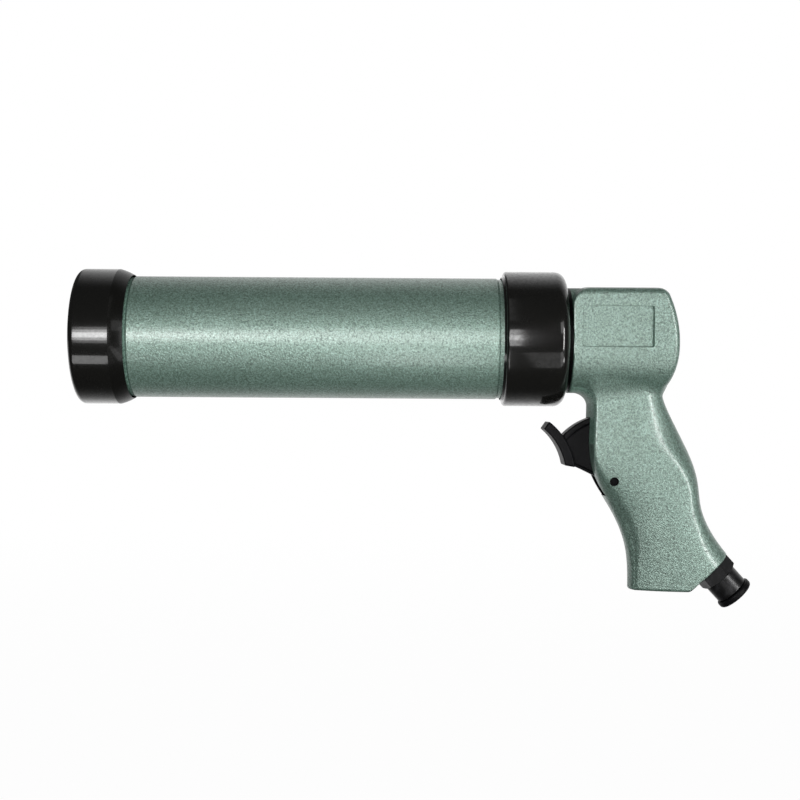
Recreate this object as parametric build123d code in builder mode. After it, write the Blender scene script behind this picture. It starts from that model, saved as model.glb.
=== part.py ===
from build123d import *
from math import cos, pi, radians, sin, sqrt
import os

# Pneumatic caulking tool: a cartridge barrel on a pistol-grip casting with a trigger valve.
# Millimetres. X runs along the barrel axis from the nozzle end to the handle, and Z is up.
# The origin is the centre of the nozzle opening, on the front face of the cap.

# Clearances
running_gap = 0.3
slip_gap = 0.05
seat_gap = 0.02
thread_gap = 0.25

# Barrel tube, for a cartridge of 50 mm
tube_bore = 25.7
tube_wall = 1.8
tube_length = 204.7
tube_end_step = 0.5
tube_end_chamfer = 0.8
tube_mouth_chamfer = 0.8
bare_band = 1.6

# Front cap and its washer
cap_skirt = 3.2
cap_length = 23.8
cap_wall = 3.6
cap_front_round = 2.6
cap_rim_taper = 6.0
cap_rim_edge = 0.2
cap_rim_depth = 5.2
cap_rim_gap = 0.7
nozzle_radius = 10.0
washer_thickness = 2.0
washer_step = 2.0
washer_side_gap = 0.9
washer_end_gap = 0.4

# Rear collar, gasket and handle flange
collar_skirt = 3.1
collar_length = 28.9
collar_lip = 3.3
collar_nose_length = 1.2
collar_nose_wall = 0.6
collar_front_round = 2.0
collar_rear_round = 5.0
collar_rim_depth = 3.5
collar_rim_gap = 0.8
gasket_thickness = 2.0
flange_thickness = 3.8
neck_step = 2.5
neck_gap = 0.4
head_gap = 1.8

# Cartridge seal with its plate and hollow screw
seal_side_gap = 0.6
seal_thickness = 3.6
seal_lip_height = 1.6
seal_lip_width = 2.6
plate_radius = 17.0
plate_thickness = 1.5
screw_radius = 4.0
screw_length = 16.0
screw_air_radius = 2.0
screw_head_width = 13.0
screw_head_height = 5.0

# Handle casting: head
head_half = 24.4
head_shoulder = 21.7
head_crown = 23.4
head_under_round = 14.0
head_back_radius = 50.8
head_back_centre = (-3.8, -2.0)
head_corner = 6.0
head_edge = 2.0
neck_depth = 12.0
label_length = 30.8
label_height = 17.7
label_place = (20.1, 4.35)
label_depth = 0.8
label_draft = 30.0

# Handle casting: grip outline, from the face of the head, and the corners of its section
grip_half = 15.0
grip_foot_half = 11.5
grip_taper_start = -55.0
grip_foot = -113.7
grip_front_round = 2.4
grip_back_round = 10.0
grip_front = [(10.4, -14.0), (10.5, -36.0), (13.2, -62.0), (22.2, -79.0), (28.0, -93.0), (29.6, grip_foot)]
grip_back = [
    (40.5, -14.0),
    (42.7, -27.8),
    (47.1, -36.8),
    (54.0, -50.0),
    (57.6, -63.0),
    (59.5, -76.6),
    (67.5, -91.0),
    (88.0, grip_foot),
]

# Trigger, measured from its pivot, and the slot that it swings in
pivot = (19.9, -64.1)
pin_radius = 2.0
pin_recess = 3.0
trigger_web_half = 5.7
trigger_web_radius = 30.2
trigger_web_start = 139.0
trigger_web_end = 98.5
trigger_hub_radius = 5.2
trigger_blade_half = 8.5
trigger_push_face = -2.4
trigger_push_top = 21.5
blade_front = [(-31.2, 23.3), (-24.9, 15.9), (-21.6, 6.9)]
blade_back = [(-28.8, 26.7), (-20.2, 16.6), (-17.0, 6.1)]
trigger_throat = [(-16.6, 6.3), (-10.6, 3.5), (-4.8, 0.5)]
trigger_edge = 0.8
slot_rear = 22.3

# Trigger valve, on an axis above the pivot
valve_lever = 18.5
valve_bore = 5.75
clip_setback = 0.6
clip_thickness = 1.0
clip_depth = 0.55
clip_width = 1.3
clip_opening = 4.0
bushing_length = 13.0
bushing_vent_length = 2.9
bushing_vent_radius = 2.7
bushing_guide_length = 2.6
bushing_gallery_radius = 3.0
bushing_port_start = 5.6
bushing_port_length = 3.0
bushing_port_depth = 0.85
bushing_port_radius = 1.2
bushing_ring_starts = (1.6, 9.8)
bushing_ring_radius = 0.8
ring_groove_slack = 0.3
stem_radius = 2.0
stem_waist = 1.5
stem_tip_gap = 0.15
stem_flange_radius = 4.4
stem_flange_thickness = 1.2
stem_tail_radius = 2.2
stem_tail_length = 1.2
stem_ring_radius = 0.4
stem_ring_place = 1.5
valve_washer_thickness = 1.8
spring_length = 6.4
spring_radius = 3.2
spring_wire = 0.6
spring_turns = 3.0

# Air passages
passage_radius = 2.5
plug_radius = 4.0
plug_length = 7.0
plug_setback = 0.6
plug_socket_width = 4.0
plug_socket_depth = 3.0
supply_radius = 3.0

# Air inlet: seat on the foot of the grip, hexagon fitting, strainer and dust plug
inlet_seat = (65.8, -103.2)
inlet_slope = 47.4
inlet_shank_radius = 6.5
inlet_shank_length = 12.0
inlet_bore = 3.6
inlet_hex_width = 16.0
inlet_hex_length = 7.0
inlet_hex_turn = 45.0
inlet_hex_chamfer = 0.9
inlet_nose_radius = 7.7
inlet_nose_length = 7.8
inlet_thread_radius = 5.72
inlet_thread_length = 7.5
inlet_mouth_radius = 6.4
inlet_mouth_depth = 3.2
inlet_ring_radius = 0.9
strainer_length = 9.0
strainer_wall = 0.5
strainer_flange_radius = 5.2
strainer_flange_thickness = 0.8
dust_flange_lap = 0.95
dust_flange_thickness = 3.1
dust_shank_length = 2.9
dust_wall = 1.0
dust_gap = 0.1

# Radii of the barrel and of what screws onto it
tube_radius = tube_bore + tube_wall
tube_end_radius = tube_radius - tube_end_step
cap_radius = tube_radius + cap_skirt
collar_radius = tube_radius + collar_skirt
neck_radius = tube_bore - neck_step

# Places along the barrel axis
tube_front = cap_wall + washer_thickness + washer_end_gap
tube_rear = tube_front + tube_length
flange_front = tube_rear + gasket_thickness
lip_front = flange_front + flange_thickness
collar_rear = lip_front + collar_lip
collar_front = collar_rear - collar_length
head_front = collar_rear + head_gap
paint_front = cap_length + tube_end_chamfer
paint_rear = collar_front - bare_band

# Planes of the handle: its side view, the valve axis and the inlet axis
side_view = Plane(origin=(head_front, 0, 0), x_dir=(1, 0, 0), z_dir=(0, -1, 0))
pivot_view = Plane(origin=(head_front + pivot[0], 0, pivot[1]), x_dir=(1, 0, 0), z_dir=(0, -1, 0))
valve_height = pivot[1] + valve_lever
valve_view = Plane(origin=(head_front, 0, valve_height), x_dir=(1, 0, 0), z_dir=(0, -1, 0))
valve_axis = Axis(valve_view.origin, (1, 0, 0))
inlet_direction = (cos(radians(inlet_slope)), 0, -sin(radians(inlet_slope)))
inlet_origin = (head_front + inlet_seat[0], 0, inlet_seat[1])
inlet_view = Plane(origin=inlet_origin, x_dir=inlet_direction, z_dir=(0, -1, 0))
inlet_face = Plane(origin=inlet_origin, x_dir=(0, 1, 0), z_dir=inlet_direction)
inlet_axis = Axis(inlet_origin, inlet_direction)

# Places along the valve axis, from the face of the head
clip_front = slot_rear + clip_setback
bushing_front = clip_front + clip_thickness
bushing_rear = bushing_front + bushing_length
washer_rear = bushing_rear + valve_washer_thickness
spring_front = washer_rear + stem_flange_thickness
valve_bore_end = spring_front + spring_length
stem_tip = pivot[0] + trigger_push_face + stem_tip_gap
port_middle = bushing_front + bushing_port_start + bushing_port_length / 2


def section(plane, *corners):
    """A closed straight-sided profile drawn on a plane."""
    with BuildSketch(plane) as drawn:
        with BuildLine():
            Polyline(*corners, close=True)
        make_face()
    return drawn.sketch


def ring_section(plane, along, radius, thickness):
    """The round cross-section of a ring, at a place along its axis."""
    with BuildSketch(plane) as drawn:
        with Locations((along, radius)):
            Circle(thickness)
    return drawn.sketch


def finish(piece, name):
    """Names a finished piece and writes it."""
    piece.part.label = name
    export_step(piece.part, f"parts/{name}.step")


os.makedirs("parts", exist_ok=True)

# Front cap: rounded nose, tapered rim, bore for the barrel end
cap_bore = tube_end_radius + thread_gap
cap_rim_bore = tube_radius + cap_rim_gap
with BuildPart() as front_cap:
    with BuildSketch(Plane.XZ):
        with BuildLine():
            face = Line((0, nozzle_radius), (0, cap_radius - cap_front_round))
            nose = JernArc(face @ 1, face % 1, cap_front_round, -90)
            wall = Line(nose @ 1, (cap_length - cap_rim_taper, cap_radius))
            rim = TangentArc(wall @ 1, (cap_length, cap_rim_bore + cap_rim_edge), tangent=wall % 1)
            Polyline(
                rim @ 1,
                (cap_length, cap_rim_bore),
                (cap_length - cap_rim_depth, cap_rim_bore),
                (cap_length - cap_rim_depth, cap_bore),
                (cap_wall, cap_bore),
                (cap_wall, nozzle_radius),
                face @ 0,
            )
        make_face()
    revolve(axis=Axis.X)
finish(front_cap, "front_cap")

# Thrust washer, loose in the cap, which the shoulder of the cartridge bears on
with BuildPart() as cap_washer:
    with BuildSketch(Plane.YZ.offset(cap_wall)):
        Circle(cap_bore - washer_side_gap)
        Circle(nozzle_radius + washer_step, mode=Mode.SUBTRACT)
    extrude(amount=washer_thickness)
finish(cap_washer, "cap_washer")

# Barrel tube with turned-down ends for the cap and the collar
with BuildPart() as barrel_tube:
    revolve(
        section(
            Plane.XZ,
            (tube_front, tube_bore + tube_mouth_chamfer),
            (tube_front, tube_end_radius),
            (paint_front, tube_end_radius),
            (paint_front + tube_end_chamfer, tube_radius),
            (paint_rear - tube_end_chamfer, tube_radius),
            (paint_rear, tube_end_radius),
            (tube_rear, tube_end_radius),
            (tube_rear, tube_bore),
            (tube_front + tube_mouth_chamfer, tube_bore),
        ),
        axis=Axis.X,
    )
finish(barrel_tube, "barrel_tube")

# Gasket between the end of the tube and the flange of the handle
with BuildPart() as barrel_gasket:
    with BuildSketch(Plane.YZ.offset(tube_rear)):
        Circle(tube_end_radius)
        Circle(tube_bore, mode=Mode.SUBTRACT)
    extrude(amount=gasket_thickness)
finish(barrel_gasket, "barrel_gasket")

# Rear collar: screws onto the tube and draws the handle flange against the gasket
collar_bore = tube_end_radius + seat_gap
collar_rim_bore = tube_end_radius + collar_rim_gap
collar_nose_radius = collar_rim_bore + collar_nose_wall
collar_face = collar_front + collar_nose_length
with BuildPart() as rear_collar:
    with BuildSketch(Plane.XZ):
        with BuildLine():
            lead = Polyline(
                (collar_front, collar_rim_bore),
                (collar_front, collar_nose_radius),
                (collar_face, collar_nose_radius),
                (collar_face, collar_radius - collar_front_round),
            )
            nose = JernArc(lead @ 1, lead % 1, collar_front_round, -90)
            wall = Line(nose @ 1, (collar_rear - collar_rear_round, collar_radius))
            heel = JernArc(wall @ 1, wall % 1, collar_rear_round, -90)
            Polyline(
                heel @ 1,
                (collar_rear, neck_radius + neck_gap),
                (lip_front, neck_radius + neck_gap),
                (lip_front, collar_bore),
                (collar_front + collar_rim_depth, collar_bore),
                (collar_front + collar_rim_depth, collar_rim_bore),
                lead @ 0,
            )
        make_face()
    revolve(axis=Axis.X)
finish(rear_collar, "rear_collar")

# Rubber seal for the rear rim of the cartridge, with a raised lip
seal_front = flange_front - seal_thickness
seal_radius = tube_bore - seal_side_gap
with BuildPart() as cartridge_seal:
    revolve(
        section(
            Plane.XZ,
            (seal_front, screw_radius + slip_gap),
            (seal_front, seal_radius - 2 * seal_lip_width),
            (seal_front - seal_lip_height, seal_radius - 1.5 * seal_lip_width),
            (seal_front - seal_lip_height, seal_radius - 0.5 * seal_lip_width),
            (seal_front, seal_radius),
            (flange_front, seal_radius),
            (flange_front, screw_radius + slip_gap),
        ),
        axis=Axis.X,
    )
finish(cartridge_seal, "cartridge_seal")

# Plate that holds the seal
plate_front = seal_front - plate_thickness
with BuildPart() as seal_plate:
    with BuildSketch(Plane.YZ.offset(plate_front)):
        Circle(plate_radius)
        Circle(screw_radius + slip_gap, mode=Mode.SUBTRACT)
    extrude(amount=plate_thickness)
finish(seal_plate, "seal_plate")

# Hollow screw: holds the plate and lets the air into the barrel
screw_head_front = plate_front - screw_head_height
screw_end = flange_front + screw_length
with BuildPart() as seal_screw:
    with BuildSketch(Plane.YZ.offset(screw_head_front)):
        RegularPolygon(screw_head_width / 2, 6, major_radius=False)
    extrude(amount=screw_head_height)
    with BuildSketch(Plane.YZ.offset(plate_front)):
        Circle(screw_radius)
    extrude(amount=screw_end - plate_front)
    with BuildSketch(Plane.YZ.offset(screw_head_front)):
        Circle(screw_air_radius)
    extrude(amount=screw_end - screw_head_front, mode=Mode.SUBTRACT)
finish(seal_screw, "seal_screw")

# Pistol grip, with its front and back corners rounded, before it joins the head
with BuildPart() as grip_blank:
    with BuildSketch(side_view.offset(-grip_half)):
        with BuildLine():
            front = Spline(*grip_front, tangents=[(0, -1), (0, -1)])
            back = Spline(*grip_back)
            Line(front @ 0, back @ 0)
            Line(front @ 1, back @ 1)
        make_face()
    extrude(amount=2 * grip_half)
    # Both sides draw in towards the foot, along an arc
    with BuildSketch(Plane.YZ.offset(head_front)):
        with BuildLine():
            flank = TangentArc((grip_half, grip_taper_start), (grip_foot_half, grip_foot), tangent=(0, -1))
            Polyline(flank @ 1, (2 * grip_half, grip_foot), (2 * grip_half, grip_taper_start), flank @ 0)
        make_face()
        mirror(about=Plane.YZ)
    extrude(amount=grip_back[-1][0], mode=Mode.SUBTRACT)
    back_skin = grip_blank.faces().filter_by(GeomType.EXTRUSION).sort_by(Axis.X)[-1]
    fillet(back_skin.edges().filter_by(GeomType.BSPLINE), grip_back_round)
    front_skin = grip_blank.faces().filter_by(GeomType.EXTRUSION).sort_by(Axis.X)[0]
    fillet(front_skin.edges().filter_by(GeomType.BSPLINE), grip_front_round)

# Handle casting: flat-sided head, turned neck and flange, and rounded pistol grip
with BuildPart() as handle_casting:
    with BuildSketch(Plane.YZ.offset(head_front)) as head_section:
        with BuildLine():
            crown = ThreePointArc((head_half, head_shoulder), (0, head_crown), (-head_half, head_shoulder))
            Polyline(crown @ 1, (-head_half, -head_half), (head_half, -head_half), crown @ 0)
        make_face()
        fillet(head_section.vertices().sort_by(Axis.Y)[:2], head_under_round)
    extrude(amount=head_back_radius)
    with BuildSketch(side_view):
        with Locations(head_back_centre):
            Circle(head_back_radius)
    extrude(amount=head_half, both=True, mode=Mode.INTERSECT)
    front_face = handle_casting.faces().sort_by(Axis.X)[0]
    fillet(front_face.edges().sort_by(Axis.Z)[-1], head_corner)
    top_edges = handle_casting.faces().sort_by(Axis.Z)[-1].edges().filter_by(GeomType.LINE)
    back_edges = handle_casting.faces().sort_by(Axis.X)[-1].edges()
    fillet(top_edges.filter_by(Axis.X) + back_edges, head_edge)
    revolve(
        section(
            Plane.XZ,
            (flange_front, 0),
            (flange_front, tube_end_radius - running_gap),
            (lip_front, tube_end_radius - running_gap),
            (lip_front, neck_radius),
            (head_front + neck_depth, neck_radius),
            (head_front + neck_depth, 0),
        ),
        axis=Axis.X,
    )
    add(grip_blank.part)
    split(bisect_by=inlet_face, keep=Keep.BOTTOM)
    # Label recesses, left bare, one on each side of the head
    for side in (-1, 1):
        recess_floor = Plane(
            origin=(head_front + label_place[0], side * (head_half - label_depth), label_place[1]),
            x_dir=(-side, 0, 0),
            z_dir=(0, side, 0),
        )
        with BuildSketch(recess_floor):
            Rectangle(label_length, label_height)
        extrude(amount=2 * label_depth, taper=-label_draft, mode=Mode.SUBTRACT)
    # Slot that the trigger swings in, round its hub and under its web
    slot_top_radius = trigger_web_radius + running_gap
    slot_hub_radius = trigger_hub_radius + running_gap
    slot_wall = slot_rear - pivot[0]
    slot_reach = pivot[0]
    with BuildSketch(pivot_view):
        with BuildLine():
            ceiling = ThreePointArc(
                (slot_wall, sqrt(slot_top_radius**2 - slot_wall**2)),
                (-slot_reach / 2, sqrt(slot_top_radius**2 - slot_reach**2 / 4)),
                (-slot_reach, sqrt(slot_top_radius**2 - slot_reach**2)),
            )
            hub = ThreePointArc(
                (0, -slot_hub_radius),
                (slot_hub_radius, 0),
                (slot_wall, sqrt(slot_hub_radius**2 - slot_wall**2)),
            )
            Line(hub @ 1, ceiling @ 0)
            Polyline(ceiling @ 1, (-slot_reach, -slot_hub_radius), hub @ 0)
        make_face()
    extrude(amount=trigger_web_half + running_gap, both=True, mode=Mode.SUBTRACT)
    with BuildSketch(pivot_view):
        Circle(pin_radius + seat_gap)
    extrude(amount=grip_half, both=True, mode=Mode.SUBTRACT)
    # Valve bore with its clip groove
    clip_outer = valve_bore + clip_depth
    revolve(
        section(
            valve_view,
            (slot_rear - running_gap, 0),
            (slot_rear - running_gap, valve_bore),
            (clip_front, valve_bore),
            (clip_front, clip_outer + seat_gap),
            (bushing_front, clip_outer + seat_gap),
            (bushing_front, valve_bore),
            (valve_bore_end, valve_bore),
            (valve_bore_end, 0),
        ),
        axis=valve_axis,
        mode=Mode.SUBTRACT,
    )
    # Screw hole and air passage from the barrel, and the cross passage down to the valve
    with BuildSketch(Plane.YZ.offset(flange_front)):
        Circle(screw_radius + seat_gap)
    extrude(amount=screw_length, mode=Mode.SUBTRACT)
    with BuildSketch(Plane.YZ.offset(screw_end)):
        Circle(passage_radius)
    extrude(amount=head_front + port_middle - screw_end, mode=Mode.SUBTRACT)
    with BuildSketch(Plane.XY.offset(valve_height)):
        with Locations((head_front + port_middle, 0)):
            Circle(passage_radius)
    extrude(amount=head_crown - valve_height, mode=Mode.SUBTRACT)
    plug_bottom = head_crown - plug_setback - plug_length
    with BuildSketch(Plane.XY.offset(plug_bottom)):
        with Locations((head_front + port_middle, 0)):
            Circle(plug_radius + seat_gap)
    extrude(amount=plug_length + plug_setback, mode=Mode.SUBTRACT)
    # Bore of the inlet fitting and the supply passage up to the rear of the valve
    with BuildSketch(inlet_face):
        Circle(inlet_shank_radius + seat_gap)
    extrude(amount=-inlet_shank_length, mode=Mode.SUBTRACT)
    supply_start = inlet_face.from_local_coords((0, 0, -inlet_shank_length))
    supply_end = Vector(head_front + spring_front, 0, valve_height)
    with BuildSketch(Plane(origin=supply_start, z_dir=supply_end - supply_start)):
        Circle(supply_radius)
    extrude(amount=(supply_end - supply_start).length, mode=Mode.SUBTRACT)
finish(handle_casting, "handle_casting")

# Set screw that closes the cross passage on top of the head
with BuildPart() as passage_plug:
    with BuildSketch(Plane.XY.offset(plug_bottom)):
        with Locations((head_front + port_middle, 0)):
            Circle(plug_radius)
    extrude(amount=plug_length)
    with BuildSketch(Plane.XY.offset(plug_bottom + plug_length)):
        with Locations((head_front + port_middle, 0)):
            RegularPolygon(plug_socket_width / 2, 6, major_radius=False)
    extrude(amount=-plug_socket_depth, mode=Mode.SUBTRACT)
finish(passage_plug, "passage_plug")

# Trigger: hub on the pin, web in the slot, and a wide curved finger blade
with BuildPart() as trigger:
    with BuildSketch(pivot_view):
        Circle(trigger_hub_radius)
        with BuildLine():
            web_start = radians(trigger_web_start)
            web_end = radians(trigger_web_end)
            web_middle = (web_start + web_end) / 2
            web_top = ThreePointArc(
                (trigger_web_radius * cos(web_start), trigger_web_radius * sin(web_start)),
                (trigger_web_radius * cos(web_middle), trigger_web_radius * sin(web_middle)),
                (trigger_web_radius * cos(web_end), trigger_web_radius * sin(web_end)),
            )
            throat = ThreePointArc(*trigger_throat)
            Polyline(
                web_top @ 1,
                (trigger_push_face, trigger_push_top),
                (trigger_push_face, 0),
                throat @ 1,
            )
            Polyline(throat @ 0, blade_back[2], web_top @ 0)
        make_face()
    extrude(amount=trigger_web_half, both=True)
    with BuildSketch(pivot_view):
        with BuildLine():
            finger = ThreePointArc(*blade_front)
            rear = ThreePointArc(*blade_back)
            Line(finger @ 0, rear @ 0)
            Line(finger @ 1, rear @ 1)
        make_face()
    extrude(amount=trigger_blade_half, both=True)
    side_edges = trigger.edges().group_by(Axis.Y)
    fillet(side_edges[0] + side_edges[-1], trigger_edge)
    with BuildSketch(pivot_view):
        Circle(pin_radius + slip_gap)
    extrude(amount=trigger_web_half, both=True, mode=Mode.SUBTRACT)
finish(trigger, "trigger")

# Pin of the trigger, sunk in the casting at both ends
with BuildPart() as trigger_pin:
    with BuildSketch(pivot_view):
        Circle(pin_radius)
    extrude(amount=grip_half - pin_recess, both=True)
finish(trigger_pin, "trigger_pin")

# Valve bushing: vent, guide and gallery inside, port groove and ring grooves outside
ring_middle = valve_bore - seat_gap - bushing_ring_radius
ring_groove = ring_middle - bushing_ring_radius - seat_gap
ring_groove_width = 2 * bushing_ring_radius + ring_groove_slack
bushing_radius = valve_bore - seat_gap
guide_front = bushing_front + bushing_vent_length
gallery_front = guide_front + bushing_guide_length
with BuildPart() as valve_bushing:
    revolve(
        section(
            valve_view,
            (bushing_front, bushing_vent_radius),
            (bushing_front, bushing_radius),
            (bushing_rear, bushing_radius),
            (bushing_rear, bushing_gallery_radius),
            (gallery_front, bushing_gallery_radius),
            (gallery_front, stem_radius + slip_gap),
            (guide_front, stem_radius + slip_gap),
            (guide_front, bushing_vent_radius),
        ),
        axis=valve_axis,
    )
    for ring_start in bushing_ring_starts:
        groove_front = bushing_front + ring_start
        revolve(
            section(
                valve_view,
                (groove_front, ring_groove),
                (groove_front, valve_bore),
                (groove_front + ring_groove_width, valve_bore),
                (groove_front + ring_groove_width, ring_groove),
            ),
            axis=valve_axis,
            mode=Mode.SUBTRACT,
        )
    port_front = bushing_front + bushing_port_start
    revolve(
        section(
            valve_view,
            (port_front, bushing_radius - bushing_port_depth),
            (port_front, valve_bore),
            (port_front + bushing_port_length, valve_bore),
            (port_front + bushing_port_length, bushing_radius - bushing_port_depth),
        ),
        axis=valve_axis,
        mode=Mode.SUBTRACT,
    )
    with BuildSketch(Plane.XY.offset(valve_height - valve_bore)):
        with Locations((head_front + port_middle, 0)):
            Circle(bushing_port_radius)
    extrude(amount=2 * valve_bore, mode=Mode.SUBTRACT)
finish(valve_bushing, "valve_bushing")

# Two rings that seal the bushing in its bore, either side of the port groove
with BuildPart() as bushing_o_rings:
    for ring_start in bushing_ring_starts:
        ring_place = bushing_front + ring_start + ring_groove_width / 2
        revolve(ring_section(valve_view, ring_place, ring_middle, bushing_ring_radius), axis=valve_axis)
finish(bushing_o_rings, "bushing_o_rings")

# Open retaining clip in its groove, in front of the bushing
clip_inner = clip_outer - clip_width
with BuildPart() as valve_clip:
    with BuildSketch(Plane.YZ.offset(head_front + clip_front)):
        with Locations((0, valve_height)):
            Circle(clip_outer)
            Circle(clip_inner, mode=Mode.SUBTRACT)
        with Locations((0, valve_height - clip_outer)):
            Rectangle(clip_opening, clip_outer, mode=Mode.SUBTRACT)
    extrude(amount=clip_thickness)
finish(valve_clip, "valve_clip")

# Valve stem: round tip on the trigger, ring groove, waist, flange and spring tail
stem_ring_middle = stem_radius - stem_ring_radius
stem_groove = stem_ring_middle - stem_ring_radius - seat_gap
stem_groove_half = stem_ring_radius + ring_groove_slack / 2
stem_ring_centre = bushing_front + stem_ring_place
with BuildPart() as valve_stem:
    with BuildSketch(valve_view):
        with BuildLine():
            tip = JernArc((stem_tip, 0), (0, 1), stem_radius, -90)
            Polyline(
                tip @ 1,
                (stem_ring_centre - stem_groove_half, stem_radius),
                (stem_ring_centre - stem_groove_half, stem_groove),
                (stem_ring_centre + stem_groove_half, stem_groove),
                (stem_ring_centre + stem_groove_half, stem_radius),
                (gallery_front, stem_radius),
                (gallery_front + stem_radius - stem_waist, stem_waist),
                (washer_rear, stem_waist),
                (washer_rear, stem_flange_radius),
                (spring_front, stem_flange_radius),
                (spring_front, stem_tail_radius),
                (spring_front + stem_tail_length, stem_tail_radius),
                (spring_front + stem_tail_length, 0),
                (stem_tip, 0),
            )
        make_face()
    revolve(axis=valve_axis)
finish(valve_stem, "valve_stem")

# Ring on the stem: clear of the guide at rest, so that the barrel vents, and in it when pulled
with BuildPart() as stem_o_ring:
    revolve(ring_section(valve_view, stem_ring_centre, stem_ring_middle, stem_ring_radius), axis=valve_axis)
finish(stem_o_ring, "stem_o_ring")

# Rubber face washer that closes the rear of the bushing
with BuildPart() as valve_washer:
    with BuildSketch(Plane.YZ.offset(head_front + bushing_rear)):
        with Locations((0, valve_height)):
            Circle(stem_flange_radius)
            Circle(stem_waist + seat_gap, mode=Mode.SUBTRACT)
    extrude(amount=valve_washer_thickness)
finish(valve_washer, "valve_washer")


def spring_point(turn):
    """Point on the wire's centre line and its direction, after so many turns."""
    angle = 2 * pi * turn
    pitch = (spring_length - spring_wire) / spring_turns
    point = Vector(
        head_front + spring_front + spring_wire / 2 + pitch * turn,
        spring_radius * cos(angle),
        valve_height + spring_radius * sin(angle),
    )
    direction = Vector(pitch, -2 * pi * spring_radius * sin(angle), 2 * pi * spring_radius * cos(angle))
    return point, direction.normalized()


def spring_arcs(turns, steps):
    """Corners and directions of the pairs of tangent arcs that follow the wire."""
    places = [spring_point(turns * step / steps) for step in range(steps + 1)]
    arcs = []
    for (start, start_way), (end, end_way) in zip(places, places[1:]):
        chord = end - start
        lean = chord.dot(start_way + end_way)
        spread = 2 * (1 - start_way.dot(end_way))
        reach = (sqrt(lean**2 + spread * chord.dot(chord)) - lean) / spread
        middle = (start + start_way * reach + end - end_way * reach) / 2
        middle_way = (end - end_way * reach - start - start_way * reach).normalized()
        arcs.append((start, middle, start_way))
        arcs.append((middle, end, middle_way))
    return arcs


# Return spring behind the stem, on arcs of an eighth of a turn
with BuildPart() as valve_spring:
    with BuildLine() as spring_path:
        for start, end, way in spring_arcs(spring_turns, round(4 * spring_turns)):
            TangentArc(start, end, tangent=way)
    with BuildSketch(Plane(origin=spring_path.line @ 0, z_dir=spring_path.line % 0)):
        Circle(spring_wire / 2)
    sweep()
finish(valve_spring, "valve_spring")
points_per_turn = 24
wire = [spring_point(step / points_per_turn)[0] for step in range(round(points_per_turn * spring_turns) + 1)]
half_turn = points_per_turn // 2
spans = [(point - far).length for step, point in enumerate(wire) for far in wire[step + half_turn :]]
print(f"least gap between the turns of the valve spring: {min(spans) - spring_wire:.2f} mm")

# Inlet fitting: shank in the casting, hexagon, and round nose with a threaded socket
hex_end = inlet_hex_length
nose_end = hex_end + inlet_nose_length
mouth_floor = nose_end - inlet_mouth_depth
thread_floor = mouth_floor - inlet_thread_length
strainer_seat = thread_floor - strainer_flange_thickness
ring_seat = inlet_shank_radius - 2 * inlet_ring_radius
with BuildPart() as inlet_bushing:
    with BuildSketch(inlet_face):
        RegularPolygon(inlet_hex_width / 2, 6, major_radius=False, rotation=inlet_hex_turn)
    extrude(amount=inlet_hex_length)
    corner_radius = inlet_hex_width / sqrt(3)
    revolve(
        section(
            inlet_view,
            (hex_end - inlet_hex_chamfer, corner_radius),
            (hex_end, corner_radius - 2 * inlet_hex_chamfer),
            (hex_end, corner_radius),
        ),
        axis=inlet_axis,
        mode=Mode.SUBTRACT,
    )
    revolve(
        section(
            inlet_view,
            (-inlet_shank_length, 0),
            (-inlet_shank_length, inlet_shank_radius),
            (0, inlet_shank_radius),
            (0, inlet_nose_radius),
            (nose_end, inlet_nose_radius),
            (nose_end, 0),
        ),
        axis=inlet_axis,
    )
    revolve(
        section(
            inlet_view,
            (-inlet_shank_length, 0),
            (-inlet_shank_length, inlet_bore),
            (strainer_seat, inlet_bore),
            (strainer_seat, strainer_flange_radius + seat_gap),
            (thread_floor, strainer_flange_radius + seat_gap),
            (thread_floor, inlet_thread_radius),
            (mouth_floor, inlet_thread_radius),
            (mouth_floor, inlet_mouth_radius),
            (nose_end, inlet_mouth_radius),
            (nose_end, 0),
        ),
        axis=inlet_axis,
        mode=Mode.SUBTRACT,
    )
    groove_half = inlet_ring_radius + ring_groove_slack / 2
    groove_middle = -2 * inlet_ring_radius - ring_groove_slack
    revolve(
        section(
            inlet_view,
            (groove_middle - groove_half, ring_seat),
            (groove_middle - groove_half, inlet_shank_radius),
            (groove_middle + groove_half, inlet_shank_radius),
            (groove_middle + groove_half, ring_seat),
        ),
        axis=inlet_axis,
        mode=Mode.SUBTRACT,
    )
finish(inlet_bushing, "inlet_bushing")

# Ring that seals the shank in the casting
with BuildPart() as inlet_o_ring:
    inlet_ring_middle = inlet_shank_radius - inlet_ring_radius
    ring_radius = inlet_ring_radius - seat_gap
    revolve(ring_section(inlet_view, groove_middle, inlet_ring_middle, ring_radius), axis=inlet_axis)
finish(inlet_o_ring, "inlet_o_ring")

# Strainer thimble, with its flange sunk in the floor of the threaded socket
strainer_radius = inlet_bore - slip_gap
strainer_end = strainer_seat - strainer_length
with BuildPart() as inlet_strainer:
    revolve(
        section(
            inlet_view,
            (strainer_end, 0),
            (strainer_end, strainer_radius),
            (strainer_seat, strainer_radius),
            (strainer_seat, strainer_flange_radius),
            (thread_floor, strainer_flange_radius),
            (thread_floor, strainer_radius - strainer_wall),
            (strainer_end + strainer_wall, strainer_radius - strainer_wall),
            (strainer_end + strainer_wall, 0),
        ),
        axis=inlet_axis,
    )
finish(inlet_strainer, "inlet_strainer")

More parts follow.
